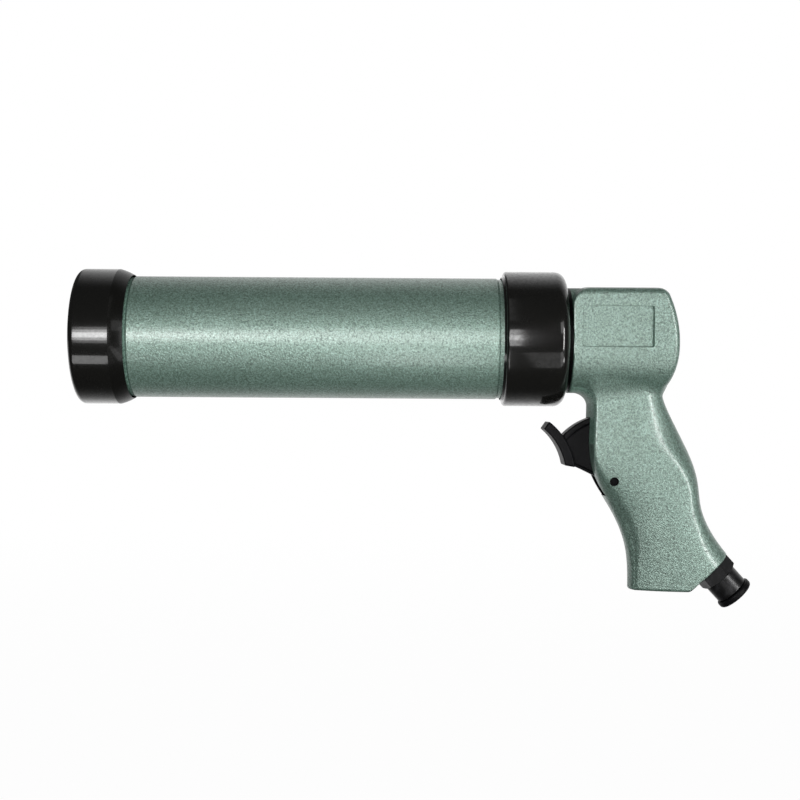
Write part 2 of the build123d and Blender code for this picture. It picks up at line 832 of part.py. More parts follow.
# Dust plug: flange over the end of the nose and a hollow shank in its mouth
dust_seat = nose_end + dust_gap
dust_rear = dust_seat + dust_flange_thickness
dust_flange_radius = inlet_nose_radius + dust_flange_lap
dust_shank_radius = inlet_mouth_radius - slip_gap
with BuildPart() as dust_plug:
    revolve(
        section(
            inlet_view,
            (dust_rear, 0),
            (dust_rear, dust_flange_radius),
            (dust_seat, dust_flange_radius),
            (dust_seat, dust_shank_radius),
            (nose_end - dust_shank_length, dust_shank_radius),
            (nose_end - dust_shank_length, dust_shank_radius - dust_wall),
            (dust_seat, dust_shank_radius - dust_wall),
            (dust_seat, 0),
        ),
        axis=inlet_axis,
    )
    rim_edges = dust_plug.edges().filter_by(GeomType.CIRCLE).sort_by(SortBy.RADIUS)[-2:]
    fillet(rim_edges, dust_flange_thickness / 3)
finish(dust_plug, "dust_plug")
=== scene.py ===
from itertools import product
from math import atan2, cos, hypot, pi, radians, sin, sqrt, tan, tau

import bmesh
import bpy
import numpy as np
from mathutils import Matrix, Vector


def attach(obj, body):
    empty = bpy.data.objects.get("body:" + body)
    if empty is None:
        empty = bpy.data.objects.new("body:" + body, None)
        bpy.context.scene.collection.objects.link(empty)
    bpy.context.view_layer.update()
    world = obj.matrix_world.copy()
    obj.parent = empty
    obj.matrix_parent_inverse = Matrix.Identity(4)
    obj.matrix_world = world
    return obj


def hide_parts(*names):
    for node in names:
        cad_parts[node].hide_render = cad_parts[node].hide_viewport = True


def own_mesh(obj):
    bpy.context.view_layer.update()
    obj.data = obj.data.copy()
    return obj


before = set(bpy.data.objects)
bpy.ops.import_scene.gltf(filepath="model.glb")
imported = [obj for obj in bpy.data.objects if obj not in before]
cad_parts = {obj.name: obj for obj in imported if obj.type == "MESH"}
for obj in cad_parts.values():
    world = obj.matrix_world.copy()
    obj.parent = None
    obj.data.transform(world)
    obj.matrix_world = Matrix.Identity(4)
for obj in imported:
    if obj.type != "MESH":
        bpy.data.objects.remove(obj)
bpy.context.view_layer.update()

# The barrel is a drawn steel tube with a coarse thread cut on its front end for the cap.
# Its outside is sprayed with green hammer enamel, which draws up into fine cells as it dries.
# Behind the cap's rim the enamel is painted darker and duller as shade, and the thread and the bore stay
# bare.
MM = 0.001
TUBE_BORE = 25.7
TUBE_RADIUS = 27.5
TUBE_END = 27.0
TUBE_SPAN = (6.0, 210.7)
PAINT_SPAN = (24.6, 189.3)
THREAD_SPAN = (6.8, 17.6)
THREAD_PITCH = 3.0
THREAD_DEPTH = 0.55
THREAD_RINGS = 48
WALL_ERROR = 0.1
WELD_REACH = 1e-7
END_CHAMFER = 0.8


class Shade:
    """A value on a surface, held as the socket of a node: arithmetic on such values adds Math nodes."""

    def __init__(self, tree, socket=None):
        self.tree = tree
        self.socket = socket

    def node(self, kind, settings=None, inputs=None, output=0):
        """Adds a node of any kind: its settings first, then the values or links of its sockets."""
        added = self.tree.nodes.new(kind)
        for name, setting in (settings or {}).items():
            setattr(added, name, setting)
        for name, value in (inputs or {}).items():
            if isinstance(value, Shade):
                self.tree.links.new(value.socket, added.inputs[name])
            else:
                added.inputs[name].default_value = value
        return Shade(self.tree, added.outputs[output] if added.outputs else None)

    def math(self, operation, *values):
        return self.node("ShaderNodeMath", {"operation": operation}, dict(enumerate(values)))

    def __add__(self, other):
        return self.math("ADD", self, other)

    def __sub__(self, other):
        return self.math("SUBTRACT", self, other)

    def __rsub__(self, other):
        return self.math("SUBTRACT", other, self)

    def __mul__(self, other):
        return self.math("MULTIPLY", self, other)

    __radd__ = __add__
    __rmul__ = __mul__


def new_finish(name):
    """An empty material, and the place on the piece that its pattern is drawn from."""
    material = bpy.data.materials.new(name)
    material.use_nodes = True
    material.node_tree.nodes.clear()
    return material, Shade(material.node_tree).node("ShaderNodeTexCoord", output="Object")


def grain(place, size, detail=2.0, roughness=0.5):
    """Cloudy noise whose blotches are about so many millimetres across."""
    return place.node(
        "ShaderNodeTexNoise",
        inputs={"Vector": place, "Scale": 1 / (size * MM), "Detail": detail, "Roughness": roughness},
    )


def edge(value, low, high):
    """0 below one level of a value and 1 above another, with a soft step between."""
    return value.node(
        "ShaderNodeMapRange",
        {"interpolation_type": "SMOOTHSTEP"},
        {"Value": value, "From Min": low, "From Max": high},
    )


def tint(mask, under, over):
    """One colour where the mask is 0 and the other where it is 1."""
    colours = [c if isinstance(c, Shade) else (*c, 1) for c in (under, over)]
    return mask.node("ShaderNodeMix", {"data_type": "RGBA"}, {0: mask, 6: colours[0], 7: colours[1]}, 2)


def relief(height, depth):
    """Surface normals of a pattern that stands so many millimetres high."""
    sockets = {"Strength": 1.0, "Distance": depth * MM, "Height": height}
    return height.node("ShaderNodeBump", inputs=sockets)


def lay(place, **sockets):
    """Ends a material: its shader with the values that are alike all over and those that vary."""
    named = {name.replace("_", " "): value for name, value in sockets.items()}
    shader = place.node("ShaderNodeBsdfPrincipled", inputs=named)
    place.node("ShaderNodeOutputMaterial", inputs={"Surface": shader})


def hammer_enamel(name, depth=1.0, gloss=1.0):
    """Sage enamel full of fine aluminium flake, with small dark specks where the cells meet.

    depth scales its colours, and gloss its sheen.
    """
    material, place = new_finish(name)
    cells = grain(place, 0.85, 2.0, 0.6)
    flake = grain(place, 0.45, 1.0)
    clouds = grain(place, 14.0, 2.0)
    specks = edge(grain(place, 0.95, 3.0, 0.62), 0.51, 0.66)
    dark, light, aged, fleck = [
        [part * depth for part in colour]
        for colour in (
            (0.05, 0.104, 0.074),
            (0.19, 0.303, 0.252),
            (0.10, 0.175, 0.134),
            (0.02, 0.045, 0.032),
        )
    ]
    body = tint(edge(cells * 0.6 + flake * 0.4, 0.34, 0.66), dark, light)
    body = tint(edge(clouds, 0.3, 0.7) * 0.25, body, aged)
    lay(
        place,
        Base_Color=tint(specks * 0.65, body, fleck),
        Metallic=0.5 * gloss,
        Roughness=0.47 + 0.08 * specks - 0.06 * flake,
        IOR=1.9,
        Specular_IOR_Level=0.9 * gloss,
        Coat_Weight=gloss * (0.55 - 0.4 * specks),
        Coat_Roughness=0.23,
        Coat_IOR=1.6,
        Normal=relief(cells + 0.5 * flake, 0.26),
    )
    return material


def zinc_plate(name):
    """Bright zinc on steel, a little cloudy, with the fine lines of the lathe."""
    material, place = new_finish(name)
    clouds = grain(place, 5.0, 4.0)
    lines = place.node(
        "ShaderNodeTexWave",
        {"bands_direction": "X"},
        {"Vector": place, "Scale": 1 / (6.0 * MM), "Distortion": 0.6, "Detail": 1.0},
        "Fac",
    )
    lay(
        place,
        Base_Color=tint(clouds, (0.42, 0.43, 0.44), (0.60, 0.61, 0.62)),
        Metallic=0.95,
        Roughness=0.28 + 0.16 * clouds,
        Normal=relief(lines + 0.4 * grain(place, 0.6), 0.012),
    )
    return material


def turned(corners, parts=6):
    """Points of a turned profile: (along, radius) for a sharp corner, and a third number rounds it."""
    points = []
    for index, (along, radius, *round_by) in enumerate(corners):
        here = Vector((along, radius))
        if not round_by:
            points.append(here)
            continue
        before = (Vector(corners[index - 1][:2]) - here).normalized()
        after = (Vector(corners[(index + 1) % len(corners)][:2]) - here).normalized()
        half = before.angle(after) / 2
        centre = here + (before + after).normalized() * (round_by[0] / sin(half))
        start = here + before * (round_by[0] / tan(half)) - centre
        finish = here + after * (round_by[0] / tan(half)) - centre
        first = atan2(start.y, start.x)
        swing = (atan2(finish.y, finish.x) - first + pi) % tau - pi
        for part in range(parts + 1):
            angle = first + swing * part / parts
            points.append(centre + Vector((cos(angle), sin(angle))) * round_by[0])
    return [tuple(point) for point in points]


def lathe(
    name, profile, segments=192, origin=(0, 0, 0), direction=(1, 0, 0), cut=None, coat=None, sharp=32
):
    """A closed profile, in millimetres along and out from an axis, turned about that axis.

    cut(along, radius, turn) is how much deeper a thread goes, and coat(along, radius) is the number
    of the finish on the band between two points of the profile.
    """
    along, radius = np.array(profile, float).T
    turn = np.arange(segments) * tau / segments
    along, turn = np.meshgrid(along, turn, indexing="ij")
    radius = np.repeat(radius[:, None], segments, 1)
    if cut:
        radius = radius - cut(along, radius, turn)
    points = np.stack([along, radius * np.cos(turn), radius * np.sin(turn)], -1).reshape(-1, 3)
    aim = np.array(Vector((1, 0, 0)).rotation_difference(Vector(direction)).to_matrix())
    points = (points @ aim.T + np.array(origin)) * MM
    bands = len(profile)
    faces = []
    for band in range(bands):
        ahead = (band + 1) % bands
        for side in range(segments):
            beside = (side + 1) % segments
            faces.append(
                (
                    band * segments + side,
                    band * segments + beside,
                    ahead * segments + beside,
                    ahead * segments + side,
                )
            )
    mesh = bpy.data.meshes.new(name)
    mesh.from_pydata(points.tolist(), [], faces)
    if coat:
        for band, (here, there) in enumerate(zip(profile, profile[1:] + profile[:1])):
            number = coat((here[0] + there[0]) / 2, (here[1] + there[1]) / 2)
            for face in range(band * segments, (band + 1) * segments):
                mesh.polygons[face].material_index = number
    return smoothed(mesh, sharp)


def smoothed(mesh, sharp):
    """Cleans a mesh and shades it smooth, except over edges sharper than so many degrees."""
    work = bmesh.new()
    work.from_mesh(mesh)
    bmesh.ops.remove_doubles(work, verts=work.verts, dist=WELD_REACH)
    bmesh.ops.recalc_face_normals(work, faces=work.faces)
    work.to_mesh(mesh)
    work.free()
    mesh.shade_smooth()
    mesh.set_sharp_from_angle(angle=radians(sharp))
    return mesh


def fit(name, mesh, body, node, slot, *finishes):
    """Puts a piece in place of a solid: what carries it, what it stands for, and its finishes."""
    piece = bpy.data.objects.new(name, mesh)
    bpy.context.scene.collection.objects.link(piece)
    for finish in finishes:
        mesh.materials.append(finish)
    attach(piece, body)
    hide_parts(node)
    return piece


def refinish(finish, *nodes):
    """Gives solids that keep their shape a real finish."""
    for node in nodes:
        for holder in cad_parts[node].material_slots:
            holder.material = finish


def thread(span, pitch, depth, wall):
    """A rounded helical thread cut into the wall at a radius, fading out at its ends."""

    def cut(along, radius, turn):
        ridge = 0.5 - 0.5 * np.cos(tau * along / pitch - turn)
        fade = np.clip(np.minimum(along - span[0], span[1] - along) / pitch, 0, 1)
        return np.where(np.abs(radius - wall) < WALL_ERROR, depth * ridge * fade, 0)

    return cut


def steps(start, stop, count):
    """Even places between two ends, without the ends."""
    return [start + (stop - start) * step / count for step in range(1, count)]


def barrel_coat(along, radius):
    """Number of the finish on a band of the barrel: enamel, enamel painted darker as shade behind the
    cap, or bare steel.
    """
    if radius < TUBE_END - WALL_ERROR or along < THREAD_SPAN[1]:
        return 2
    return int(along < PAINT_SPAN[0])


enamel_on_steel = hammer_enamel("hammer_enamel_on_steel", depth=1.12)
# A darker, almost matte copy of the enamel: painted shade for places that the cap, the collar and the
# trigger shade.
enamel_in_painted_shade = hammer_enamel("hammer_enamel_painted_shade", depth=0.9, gloss=0.06)
bright_steel = zinc_plate("bright_zinc")
barrel_profile = [
    *turned([(TUBE_SPAN[0], TUBE_BORE + END_CHAMFER), (TUBE_SPAN[0], TUBE_END)]),
    *[(along, TUBE_END) for along in steps(TUBE_SPAN[0], THREAD_SPAN[1] + THREAD_PITCH, THREAD_RINGS)],
    (PAINT_SPAN[0], TUBE_END),
    (PAINT_SPAN[0] + END_CHAMFER, TUBE_RADIUS),
    (PAINT_SPAN[1] - END_CHAMFER, TUBE_RADIUS),
    (PAINT_SPAN[1], TUBE_END),
    (TUBE_SPAN[1], TUBE_END),
    (TUBE_SPAN[1], TUBE_BORE),
    (TUBE_SPAN[0] + END_CHAMFER, TUBE_BORE),
]
barrel = lathe(
    "barrel",
    barrel_profile,
    cut=thread(THREAD_SPAN, THREAD_PITCH, THREAD_DEPTH, TUBE_END),
    coat=barrel_coat,
)
barrel_finishes = (enamel_on_steel, enamel_in_painted_shade, bright_steel)
fit("barrel_painted", barrel, "tool", "barrel_tube", "hammer_steel", *barrel_finishes)

# The front cap is turned from aluminium bar and finished gloss black, with a satin rear edge.
# It screws onto the barrel and holds the cartridge by its shoulder; the nozzle comes out through
# the hole in its face. A loose zinc-plated washer inside takes the rub.
CAP_RADIUS = 30.7
CAP_LENGTH = 23.8
CAP_WALL = 3.6
CAP_NOSE = 2.6
CAP_TAPER = 17.8
CAP_RIM = (28.2, 28.0)
CAP_CREASE = radians(13)
CAP_RIM_FLOOR = 18.6
CAP_BORE = 27.25
CAP_THREAD = 0.4
CAP_SHARP = 11
NOZZLE_RADIUS = 10.0
NOZZLE_CHAMFER = 0.7


def gloss_black(name, lines, gloss=1.0, blur=0.075):
    """Black over turned metal, with a faint orange peel, some dust and hairlines.

    lines is how marked it is, gloss how strong its sheen, and blur how soft.
    """
    material, place = new_finish(name)
    smear = grain(place, 9.0, 4.0, 0.6)
    dust = edge(grain(place, 0.45, 2.0), 0.66, 0.76)
    haze = edge(grain(place, 1.4, 3.0), 0.4, 0.65)
    peel = grain(place, 2.2, 2.0)
    lay(
        place,
        Base_Color=tint(dust * 0.35, (0.0045, 0.0045, 0.004), (0.03, 0.03, 0.028)),
        Roughness=0.2 + 0.12 * smear,
        Specular_IOR_Level=0.1,
        Coat_Weight=gloss - 0.3 * gloss * dust - lines * gloss * haze,
        Coat_Roughness=blur,
        Normal=relief(peel * 0.4 + lines * grain(place, 0.8, 3.0), 0.006),
    )
    return material


cap_black = gloss_black("gloss_black_cap", lines=0.15)
cap_edge_black = gloss_black("satin_black_cap_edge", lines=0.3, gloss=0.15)
taper_run = CAP_LENGTH - CAP_TAPER
taper_slopes = (tan(CAP_CREASE), 2 * (CAP_RADIUS - CAP_RIM[0]) / taper_run - tan(CAP_CREASE))
taper = []
for run in steps(0, taper_run, 10):
    slope = taper_slopes[0] + (taper_slopes[1] - taper_slopes[0]) * run / (2 * taper_run)
    taper.append((CAP_TAPER + run, CAP_RADIUS - run * slope))
cap_profile = turned(
    [
        (NOZZLE_CHAMFER, NOZZLE_RADIUS),
        (0, NOZZLE_RADIUS + NOZZLE_CHAMFER),
        (0, CAP_RADIUS, CAP_NOSE),
        (CAP_TAPER, CAP_RADIUS),
        *taper,
        (CAP_LENGTH, CAP_RIM[0]),
        (CAP_LENGTH, CAP_RIM[1]),
        (CAP_RIM_FLOOR, CAP_RIM[1]),
        (CAP_RIM_FLOOR, CAP_BORE),
        *[(along, CAP_BORE) for along in steps(CAP_RIM_FLOOR, CAP_WALL, THREAD_RINGS)],
        (CAP_WALL, CAP_BORE),
        (CAP_WALL, NOZZLE_RADIUS),
    ],
    parts=10,
)
cap = lathe(
    "cap",
    cap_profile,
    cut=thread((CAP_WALL, CAP_RIM_FLOOR), THREAD_PITCH, -CAP_THREAD, CAP_BORE),
    coat=lambda along, radius: int(along > CAP_TAPER),
    sharp=CAP_SHARP,
)
fit("cap_black", cap, "front_cap", "front_cap", "gloss_black", cap_black, cap_edge_black)
refinish(bright_steel, "cap_washer")

# The rear collar is a union ring in the same black finish. It screws onto the rear end of the barrel
# and draws the flange of the handle up against a rubber gasket.
COLLAR_FRONT = 190.9
COLLAR_FACE = 191.8
COLLAR_REAR = 219.8
COLLAR_LIP = 216.5
COLLAR_RADIUS = 30.6
COLLAR_NOSE = 28.4
COLLAR_BEVEL = 0.4
COLLAR_RIM = (27.8, 194.4)
COLLAR_BORE = 27.02
COLLAR_HOLE = 23.6
COLLAR_ROUNDS = (1.3, 5.0)


def moulded_rubber(name):
    """Black rubber with the bloom and the fine grain of its mould."""
    material, place = new_finish(name)
    bloom = grain(place, 3.0, 4.0, 0.65)
    lay(
        place,
        Base_Color=tint(bloom, (0.012, 0.012, 0.012), (0.035, 0.035, 0.034)),
        Roughness=0.5 + 0.25 * bloom,
        Normal=relief(grain(place, 0.35, 2.0), 0.03),
    )
    return material


collar_black = gloss_black("gloss_black_collar", lines=0.3, blur=0.095)
rubber = moulded_rubber("moulded_rubber")
collar_profile = turned(
    [
        (COLLAR_FRONT, COLLAR_RIM[0]),
        (COLLAR_FRONT, COLLAR_NOSE - COLLAR_BEVEL),
        (COLLAR_FACE, COLLAR_NOSE),
        (COLLAR_FACE, COLLAR_RADIUS, COLLAR_ROUNDS[0]),
        (COLLAR_REAR, COLLAR_RADIUS, COLLAR_ROUNDS[1]),
        (COLLAR_REAR, COLLAR_HOLE),
        (COLLAR_LIP, COLLAR_HOLE),
        (COLLAR_LIP, COLLAR_BORE),
        (COLLAR_RIM[1], COLLAR_BORE),
        (COLLAR_RIM[1], COLLAR_RIM[0]),
    ],
    parts=12,
)
fit("collar_black", lathe("collar", collar_profile), "tool", "rear_collar", "gloss_black", collar_black)
refinish(rubber, "barrel_gasket")

# A rubber seal closes on the rear rim of the cartridge. A steel plate holds it, and a hollow screw
# through both lets the air into the barrel.
refinish(rubber, "cartridge_seal")
refinish(bright_steel, "seal_plate", "seal_screw")

# The handle is one aluminium die casting: a flat-sided head with a bare label recess on each side,
# a neck and flange that the collar grips, and a pistol grip with a sloping seat for the air inlet.
# It wears the hammer enamel. The neck and the faces that look forward under the collar get a darker,
# duller copy of it as painted shade, and its cuts and the gap behind the collar are painted near-black as
# shade.
HEAD_FRONT = 221.6
HEAD_HALF = 24.4
HEAD_CROWN = 23.4
HEAD_CROWN_RADIUS = 176.0
HEAD_BACK = (-3.8, -2.0, 50.8)
HEAD_CORNER = 7.5
HEAD_EDGES = (0.5, 2.8)
HEAD_EDGE_RUN = (1.0, 7.0)
HEAD_UNDER = 19.0
NECK_RADIUS = 23.4
NECK_DEPTH = 12.0
FLANGE = (-8.9, -5.1, 26.7)
GRIP_HALF = 15.0
GRIP_TAPER = (-45.0, 8.0)
GRIP_FALL = 0.05
GRIP_WEDGE = (50.0, 84.0)
GRIP_LEAN = (2.9, 0.45)
GRIP_PINCH = (17.0, 0.62)
GRIP_BULGE = (1.3, 2.2)
GRIP_TOP = -8.0
GRIP_FOOT = -113.7
GRIP_FRONT = [(9.4, -14.0), (9.5, -36.0), (11.7, -62.0), (21.0, -79.0), (26.6, -93.0), (28.1, -113.7)]
GRIP_BACK = [
    (40.5, -14.0),
    (42.7, -27.8),
    (47.1, -36.8),
    (54.0, -50.0),
    (58.2, -63.0),
    (60.3, -76.6),
    (67.8, -91.0),
    (88.0, -113.7),
]
FRONT_ROUND = (1.2, (3.4, 50, 70), (-3.0, 86, 106))
BACK_ROUND = (6.5, (4.0, 26, 46), (-5.0, 46, 72), (1.5, 78, 94))
BACK_REACH = (0.65, (0.35, 42, 72), (-0.3, 84, 100))
GRIP_BLEND = (6.5, 3.5)
BLEND_RUN = (12.0, 34.0)
FOOT_EDGE = 1.4
SEAT = (65.8, -103.2)
SEAT_SLOPE = radians(47.4)
SEAT_EDGE = 0.5
LABEL = (19.4, 5.0, 30.8, 17.7)
LABEL_DEPTH = 0.8
LABEL_DRAFT = ((0.4, 0.4), (0.62, 0.16))
LABEL_CORNER = 0.9
LABEL_TILT = (-0.022, 0.02)
PIVOT = (19.9, -64.1)
PIN_RADIUS = 2.02
SLOT_HALF = 6.0
SLOT_RADII = (30.5, 6.8)
SLOT_ARCS = ((85.5, 117.3, 16), (-90.0, 69.3, 20))
SLOT_REACH = 14.0
VALVE_HEIGHT = -45.6
VALVE_BORE = 5.75
VALVE_SPAN = (22.0, 46.3)
CLIP_GROOVE = (22.9, 23.9, 6.32)
PORT_PLACE = 31.0
PLUG_HOLE = (4.02, 15.8)
SCREW_HOLE = (4.02, 7.1)
PASSAGE_RADIUS = 2.5
INLET_HOLE = (6.52, 12.0)
SUPPLY_RADIUS = 3.0
SUPPLY_END = 39.9
CUT_PAST = 1.0
CUT_SIDES = 64
CORNER_STEPS = 5
PAINTED_SHADE_REACH = (14.0, -47.0)
FORWARD = Vector((-1.0, 0.0, -0.3))
FORWARD_LIMITS = (0.1, 0.5)
BARE_FRONT = -0.05
BARE_DEPTH = 0.1
CAST_BOX = ((-10.7, -28.0, -115.5), (92.0, 28.0, 28.0))
CAST_STEP = 0.7
DRAW_ROUNDS = 3
DRAW_NUDGE = 0.05
DRAW_LIMIT = 0.2
SKIN_SHARP = 60
CUT_SHARP = 30
SLOPE_REACH = 0.05
SKIN_ERROR = 0.04
SHADING_LIMIT = radians(35)
LEAST_SLOPE = 0.1


def blackened_steel(name, gloss):
    """Turned steel with a black oxide that is rubbed a little lighter in places. A low gloss also darkens
    it, as painted shade.
    """
    material, place = new_finish(name)
    rub = edge(grain(place, 3.5, 4.0, 0.65), 0.45, 0.75)
    # A low gloss also darkens the colours: painted shade for the pin deep in its hole and for the cut
    # faces.
    shade_tone = 0.3 + 0.7 * gloss
    shades = ((0.006, 0.006, 0.0063), (0.016, 0.016, 0.0175))
    dark, light = [[part * shade_tone for part in colour] for colour in shades]
    lay(
        place,
        Base_Color=tint(rub, dark, light),
        Metallic=0.2 * gloss,
        Roughness=0.3 + 0.12 * rub,
        Specular_IOR_Level=0.4 * gloss,
        Normal=relief(grain(place, 0.5, 3.0), 0.012),
    )
    return material


def both(one, other, radius):
    """Distance to what lies inside two shapes, with the edge between them rounded."""
    outside = np.hypot(np.maximum(one + radius, 0), np.maximum(other + radius, 0))
    return np.minimum(np.maximum(one, other), -radius) + outside


def either(one, other, radius):
    """Distance to two shapes joined, with a fillet between them."""
    inside = np.hypot(np.maximum(radius - one, 0), np.maximum(radius - other, 0))
    return np.maximum(np.minimum(one, other), radius) - inside


def ease(value, low, high):
    """0 below one value and 1 above another, with a soft step between."""
    share = np.clip((value - low) / (high - low), 0, 1)
    return share * share * (3 - 2 * share)


def fair_curve(points):
    """A smooth outline through points: gives its X and its slope at any height."""
    height, reach = np.array(sorted((z, x) for x, z in points)).T
    gap = np.diff(height)
    rise = np.diff(reach) / gap
    count = len(height)
    system = np.eye(count)
    pull = np.zeros(count)
    for knot in range(1, count - 1):
        system[knot, knot - 1 : knot + 2] = gap[knot - 1], 2 * (gap[knot - 1] + gap[knot]), gap[knot]
        pull[knot] = 6 * (rise[knot] - rise[knot - 1])
    bend = np.linalg.solve(system, pull)

    def at(z):
        z = np.clip(z, height[0], height[-1])
        span = np.clip(np.searchsorted(height, z) - 1, 0, count - 2)
        low, high = z - height[span], height[span + 1] - z
        wide = gap[span]
        left = reach[span] / wide - bend[span] * wide / 6
        right = reach[span + 1] / wide - bend[span + 1] * wide / 6
        x = (bend[span] * high**3 + bend[span + 1] * low**3) / (6 * wide) + left * high + right * low
        slope = (bend[span + 1] * low**2 - bend[span] * high**2) / (2 * wide) - left + right
        return x, slope

    return at


front_of_grip = fair_curve(GRIP_FRONT)
back_of_grip = fair_curve(GRIP_BACK)


def down_grip(z, size, *changes):
    """A size that changes down the grip: each change is an amount and the depths that it runs between."""
    for amount, start, end in changes:
        size = size + amount * ease(-z, start, end)
    return size


def handle_shape(x, y, z):
    """Distance to the skin of the handle, in millimetres from the face of the head."""
    side = np.abs(y)
    ring = np.hypot(y, z)
    under = both(side - HEAD_HALF, -HEAD_HALF - z, HEAD_UNDER)
    crown = np.hypot(y, z - HEAD_CROWN + HEAD_CROWN_RADIUS) - HEAD_CROWN_RADIUS
    back = np.hypot(x - HEAD_BACK[0], z - HEAD_BACK[1]) - HEAD_BACK[2]
    edge_round = HEAD_EDGES[0] + (HEAD_EDGES[1] - HEAD_EDGES[0]) * ease(x, *HEAD_EDGE_RUN)
    head = both(both(under, both(crown, -x, HEAD_CORNER), edge_round), back, HEAD_EDGES[1])
    neck = np.maximum(ring - NECK_RADIUS, np.maximum(FLANGE[1] - x, x - NECK_DEPTH))
    flange = np.maximum(ring - FLANGE[2], np.maximum(FLANGE[0] - x, x - FLANGE[1]))

    fall = np.hypot(np.maximum(GRIP_TAPER[0] - z, 0), GRIP_TAPER[1]) - GRIP_TAPER[1]
    edge_x, edge_slope = front_of_grip(z)
    half = GRIP_HALF - GRIP_FALL * fall
    wedge = ease(-z, *GRIP_WEDGE)
    pinch = wedge * GRIP_PINCH[0]
    bulge = GRIP_BULGE[0] + (GRIP_BULGE[1] - GRIP_BULGE[0]) * wedge
    set_back = bulge * np.minimum(side / (half - pinch * GRIP_PINCH[1] ** 2), 1) ** 2
    ahead = (edge_x + set_back - x) / np.sqrt(1 + edge_slope**2)
    edge_x, edge_slope = back_of_grip(z)
    behind = (x - edge_x) / np.sqrt(1 + edge_slope**2)
    across = np.clip(ahead / np.minimum(ahead + behind, -1), 0, 1)
    lean = (1 - wedge) * GRIP_LEAN[0] * np.maximum(across - GRIP_LEAN[1], 0) ** 2
    flank = side - half + (lean + pinch * (across - GRIP_PINCH[1]) ** 2)
    front_skin = both(ahead, flank, down_grip(z, *FRONT_ROUND))
    back_skin = both(behind * down_grip(z, *BACK_REACH), flank, down_grip(z, *BACK_ROUND))
    grip = np.maximum(np.maximum(front_skin, back_skin), z - GRIP_TOP)
    grip = both(grip, GRIP_FOOT - z, FOOT_EDGE)
    seat = (x - SEAT[0]) * cos(SEAT_SLOPE) - (z - SEAT[1]) * sin(SEAT_SLOPE)
    grip = both(grip, seat, SEAT_EDGE)

    blend = GRIP_BLEND[0] + (GRIP_BLEND[1] - GRIP_BLEND[0]) * ease(x, *BLEND_RUN)
    return np.minimum(either(head, grip, blend), np.minimum(neck, flange))


def slope_of(shape, points, reach):
    """How a shape's distance changes along X, Y and Z at points."""
    nudges = np.eye(3) * reach
    return np.stack(
        [(shape(*(points + nudge).T) - shape(*(points - nudge).T)) / (2 * reach) for nudge in nudges], 1
    )


def cast(shape, low, high, step, rounds=3):
    """Quads on the skin of a shape, evened out along the skin and drawn back onto it."""
    axes = [np.arange(start, stop + step, step) for start, stop in zip(low, high)]
    solid = (shape(*np.meshgrid(*axes, indexing="ij")) < 0).astype(int)
    sizes = [count - 1 for count in solid.shape]
    filled = sum(
        solid[i : i + sizes[0], j : j + sizes[1], k : k + sizes[2]]
        for i, j, k in product((0, 1), repeat=3)
    )
    skin = (filled > 0) & (filled < 8)
    number = np.cumsum(skin.ravel()).reshape(skin.shape) - 1
    points = (np.argwhere(skin) + 0.5) * step + np.array(low)
    quads = []
    for axis in range(3):
        beside, above = np.eye(3, dtype=int)[[(axis + 1) % 3, (axis + 2) % 3]]
        for way, order in ((-1, (0, 1, 2, 3)), (1, (3, 2, 1, 0))):
            place = np.argwhere(np.diff(solid, axis=axis) == way)
            ring = [place, place - beside, place - beside - above, place - above]
            quads.append(np.stack([number[tuple(ring[corner].T)] for corner in order], 1))
    quads = np.concatenate(quads)
    ends = np.concatenate([quads[:, [i, (i + 1) % 4]] for i in range(4)])
    ends = np.concatenate([ends, ends[:, ::-1]])
    links = np.bincount(ends[:, 0], minlength=len(points))
    reach = DRAW_NUDGE * step
    for turn in range(rounds + 1):
        if turn:
            points = np.stack(
                [np.bincount(ends[:, 0], points[ends[:, 1], i], len(points)) / links for i in range(3)], 1
            )
        for _ in range(DRAW_ROUNDS):
            slope = slope_of(shape, points, reach)
            shift = shape(*points.T) / np.maximum((slope**2).sum(1), DRAW_LIMIT)
            points = points - slope * shift[:, None]
    return points, quads


def solid_mesh(name, points, faces, origin=(0, 0, 0)):
    """A mesh from points in millimetres about a place."""
    mesh = bpy.data.meshes.new(name)
    places = (np.array(points) + np.array(origin)) * MM
    mesh.from_pydata(places.tolist(), [], [list(face) for face in faces])
    return mesh


def true_shading(mesh, shape, origin):
    """Shades the skin of a cast piece by the slope of its shape, and leaves the cut faces as they are."""
    points = np.empty(3 * len(mesh.vertices))
    corners = np.empty(len(mesh.loops), int)
    normals = np.empty(3 * len(mesh.loops))
    mesh.vertices.foreach_get("co", points)
    mesh.loops.foreach_get("vertex_index", corners)
    mesh.corner_normals.foreach_get("vector", normals)
    points = points.reshape(-1, 3) / MM - np.array(origin)
    normals = normals.reshape(-1, 3)
    slope = slope_of(shape, points, SLOPE_REACH)
    slope /= np.maximum(np.linalg.norm(slope, axis=1, keepdims=True), LEAST_SLOPE)
    on_skin = np.abs(shape(*points.T)) < SKIN_ERROR
    alike = (slope[corners] * normals).sum(1) > cos(SHADING_LIMIT)
    shaded = np.where((on_skin[corners] & alike)[:, None], slope[corners], normals)
    mesh.normals_split_custom_set(shaded.tolist())


def slab(name, outline, near, far, origin=(0, 0, 0), flare=((0, 0), (0, 0)), tilt=(0, 0)):
    """An outline in the side view, from one Y to another. Its far side may flare, its near side tilt."""
    outline = np.array(outline, float)
    middle = (outline.max(0) + outline.min(0)) / 2
    grown = outline + np.where(outline < middle, -np.array(flare[0]), flare[1])
    count = len(outline)
    slant = near + np.sign(near) * ((outline - middle) @ np.array(tilt))
    points = [(x, y, z) for (x, z), y in zip(outline, slant)] + [(x, far, z) for x, z in grown]
    faces = [list(range(count))[::-1], list(range(count, 2 * count))]
    faces += [(i, (i + 1) % count, count + (i + 1) % count, count + i) for i in range(count)]
    return smoothed(solid_mesh(name, points, faces, origin), CUT_SHARP)


